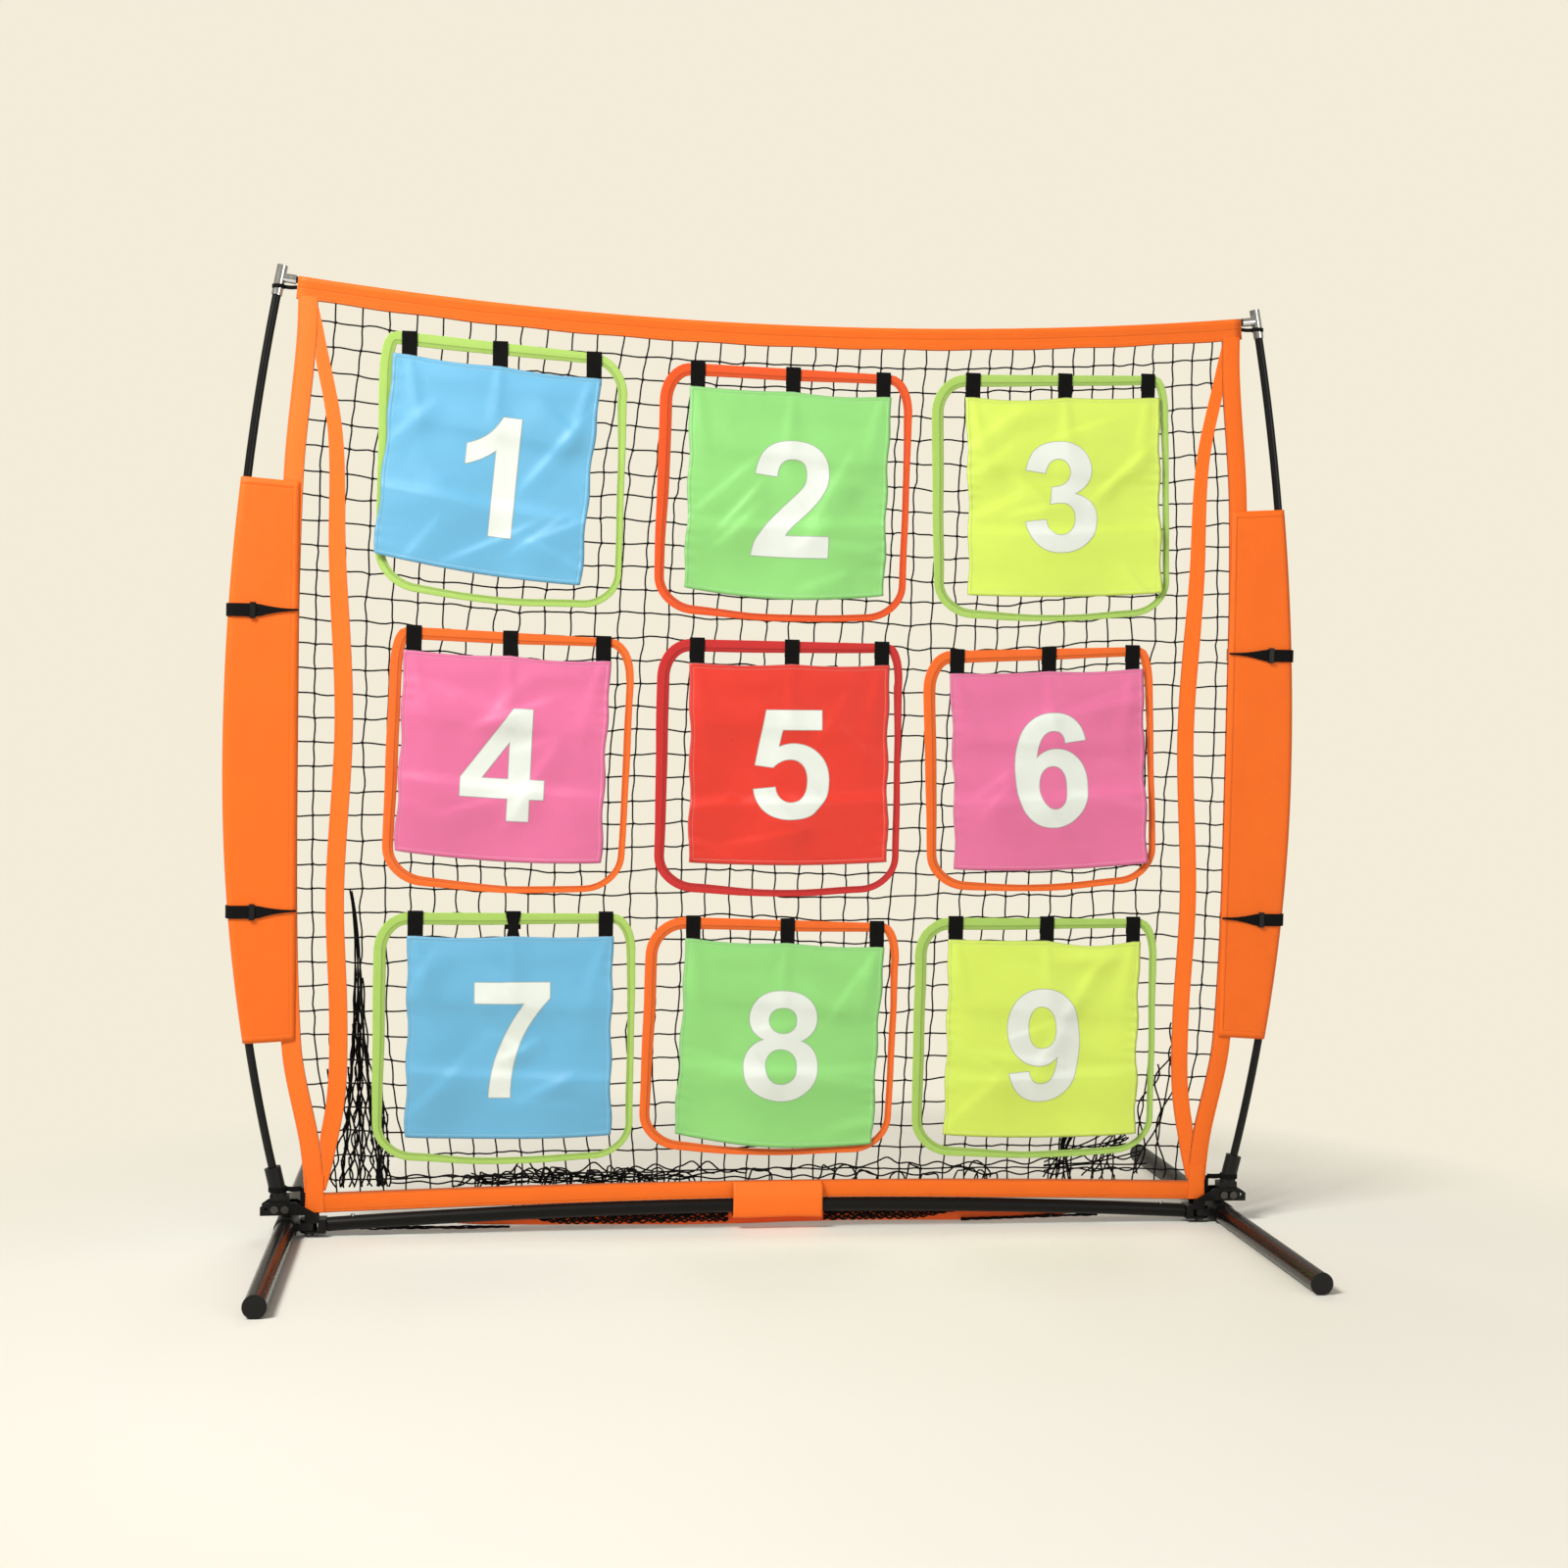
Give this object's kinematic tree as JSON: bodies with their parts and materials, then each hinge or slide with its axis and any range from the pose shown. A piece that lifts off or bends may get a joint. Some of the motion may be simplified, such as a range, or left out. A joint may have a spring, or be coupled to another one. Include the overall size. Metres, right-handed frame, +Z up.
{
  "type": "pitching target net",
  "caption": "Free-standing bowed-frame pitching net with hanging target flaps on webbing loops, fold-in legs and a slack net pocket behind.",
  "frame": {"origin": "on the floor, midway between the two legs, in the plane of the face net", "axes": "+X to the right as seen by the thrower, +Y to the back, +Z up; the flaps face -Y"},
  "size_m": [1.7052, 0.86, 1.4896],
  "materials": {
    "black_gloss_steel": "gloss",
    "black_cap_plastic": "satin",
    "black_bracket_steel": "satin",
    "black_bracket_plastic": "satin",
    "dark_bolt_steel": "semi-gloss",
    "black_satin_steel": "satin",
    "bright_button_steel": "polished",
    "black_fibreglass": "gloss",
    "tee_chrome": "polished",
    "orange_fabric": "plain weave polyester",
    "black_net_cord": "knotted cord",
    "black_webbing": "woven webbing",
    "black_keeper_plastic": "satin",
    "loop_lime_webbing": "woven webbing",
    "loop_vermilion_webbing": "woven webbing",
    "loop_orange_webbing": "woven webbing",
    "loop_red_webbing": "woven webbing",
    "flap_blue_cloth": "satin polyester",
    "flap_green_cloth": "satin polyester",
    "flap_neon_cloth": "satin polyester",
    "flap_pink_cloth": "satin polyester",
    "flap_red_cloth": "satin polyester"
  },
  "bodies": {
    "frame": {"left_corner_bracket": "black_bracket_plastic", "right_corner_bracket": "black_bracket_plastic", "left_pole_socket": "black_bracket_plastic", "right_pole_socket": "black_bracket_plastic", "swivel_bolts": "dark_bolt_steel", "socket_bolts": "dark_bolt_steel", "left_crossbar": "black_satin_steel", "right_crossbar": "black_satin_steel", "crossbar_joiner": "black_satin_steel", "left_lower_pole": "black_fibreglass", "left_upper_pole": "black_fibreglass", "right_lower_pole": "black_fibreglass", "right_upper_pole": "black_fibreglass", "pole_ferrules": "black_satin_steel", "pole_tees": "tee_chrome", "top_rod": "black_fibreglass", "top_sleeve": "orange_fabric", "face_net": "black_net_cord", "catch_net": "black_net_cord", "bottom_webbing": "orange_fabric", "ground_band": "orange_fabric", "left_edge_webbing": "orange_fabric", "right_edge_webbing": "orange_fabric", "mouth_webbing": "orange_fabric", "left_side_sleeve": "orange_fabric", "right_side_sleeve": "orange_fabric", "sleeve_straps": "black_webbing", "corner_straps": "black_webbing", "flap_tabs": "black_webbing", "loop_1": "loop_lime_webbing", "loop_2": "loop_vermilion_webbing", "loop_3": "loop_lime_webbing", "loop_4": "loop_orange_webbing", "loop_5": "loop_red_webbing", "loop_6": "loop_orange_webbing", "loop_7": "loop_lime_webbing", "loop_8": "loop_orange_webbing", "loop_9": "loop_lime_webbing"},
    "left_leg": {"left_leg_tube": "black_gloss_steel", "left_leg_caps": "black_cap_plastic", "left_leg_saddle": "black_bracket_steel"},
    "right_leg": {"right_leg_tube": "black_gloss_steel", "right_leg_caps": "black_cap_plastic", "right_leg_saddle": "black_bracket_steel"},
    "left_button": {"left_snap_button": "bright_button_steel"},
    "right_button": {"right_snap_button": "bright_button_steel"},
    "left_lower_slide_keeper": {"left_lower_keeper": "black_keeper_plastic"},
    "left_upper_slide_keeper": {"left_upper_keeper": "black_keeper_plastic"},
    "right_lower_slide_keeper": {"right_lower_keeper": "black_keeper_plastic"},
    "right_upper_slide_keeper": {"right_upper_keeper": "black_keeper_plastic"},
    "target_flap_1": {"flap_1": "flap_blue_cloth"},
    "target_flap_2": {"flap_2": "flap_green_cloth"},
    "target_flap_3": {"flap_3": "flap_neon_cloth"},
    "target_flap_4": {"flap_4": "flap_pink_cloth"},
    "target_flap_5": {"flap_5": "flap_red_cloth"},
    "target_flap_6": {"flap_6": "flap_pink_cloth"},
    "target_flap_7": {"flap_7": "flap_blue_cloth"},
    "target_flap_8": {"flap_8": "flap_green_cloth"},
    "target_flap_9": {"flap_9": "flap_neon_cloth"}
  },
  "joints": [
    {"name": "left_leg_swivel", "type": "hinge", "parent": "frame", "child": "left_leg", "pos_m": [-0.716, 0, 0.0165], "axis": [0, 0, 1], "range_deg": [0, 90]},
    {"name": "right_leg_swivel", "type": "hinge", "parent": "frame", "child": "right_leg", "pos_m": [0.716, 0, 0.0165], "axis": [0, 0, -1], "range_deg": [0, 90]},
    {"name": "left_button_press", "type": "slide", "parent": "frame", "child": "left_button", "axis": [0, 0, -1], "range_m": [0, 0.004], "stiffness_N_per_m": 1500},
    {"name": "right_button_press", "type": "slide", "parent": "frame", "child": "right_button", "axis": [0, 0, -1], "range_m": [0, 0.004], "stiffness_N_per_m": 1500},
    {"name": "left_lower_keeper_slide", "type": "slide", "parent": "frame", "child": "left_lower_slide_keeper", "axis": [-0.9983, -0.0586, 0], "range_m": [0, 0.018]},
    {"name": "left_upper_keeper_slide", "type": "slide", "parent": "frame", "child": "left_upper_slide_keeper", "axis": [-0.9984, -0.0573, 0], "range_m": [0, 0.018]},
    {"name": "right_lower_keeper_slide", "type": "slide", "parent": "frame", "child": "right_lower_slide_keeper", "axis": [0.9983, -0.0589, 0], "range_m": [0, 0.018]},
    {"name": "right_upper_keeper_slide", "type": "slide", "parent": "frame", "child": "right_upper_slide_keeper", "axis": [0.9984, -0.0561, 0], "range_m": [0, 0.018]},
    {"name": "flap_1_swing", "type": "hinge", "parent": "frame", "child": "target_flap_1", "pos_m": [-0.443, -0.0068, 1.34856], "axis": [-0.9962, 0, 0.0872], "range_deg": [0, 150]},
    {"name": "flap_2_swing", "type": "hinge", "parent": "frame", "child": "target_flap_2", "pos_m": [0.013, -0.0068, 1.32687], "axis": [-0.9998, 0, 0.0175], "range_deg": [0, 150]},
    {"name": "flap_3_swing", "type": "hinge", "parent": "frame", "child": "target_flap_3", "pos_m": [0.452, -0.0068, 1.33451], "axis": [-0.9994, 0, -0.0349], "range_deg": [0, 150]},
    {"name": "flap_4_swing", "type": "hinge", "parent": "frame", "child": "target_flap_4", "pos_m": [-0.422, -0.0068, 0.90409], "axis": [-0.9994, 0, 0.0349], "range_deg": [0, 150]},
    {"name": "flap_5_swing", "type": "hinge", "parent": "frame", "child": "target_flap_5", "pos_m": [0.019, -0.0068, 0.89999], "axis": [-1, 0, -0.0087], "range_deg": [0, 150]},
    {"name": "flap_6_swing", "type": "hinge", "parent": "frame", "child": "target_flap_6", "pos_m": [0.436, -0.0068, 0.89729], "axis": [-0.999, 0, -0.0436], "range_deg": [0, 150]},
    {"name": "flap_7_swing", "type": "hinge", "parent": "frame", "child": "target_flap_7", "pos_m": [-0.412, -0.0068, 0.46802], "axis": [-1, 0, 0], "range_deg": [0, 150]},
    {"name": "flap_8_swing", "type": "hinge", "parent": "frame", "child": "target_flap_8", "pos_m": [0.02, -0.0068, 0.45848], "axis": [-0.999, 0, 0.0436], "range_deg": [0, 150]},
    {"name": "flap_9_swing", "type": "hinge", "parent": "frame", "child": "target_flap_9", "pos_m": [0.443, -0.0068, 0.46303], "axis": [-1, 0, 0.0087], "range_deg": [0, 150]}
  ]
}
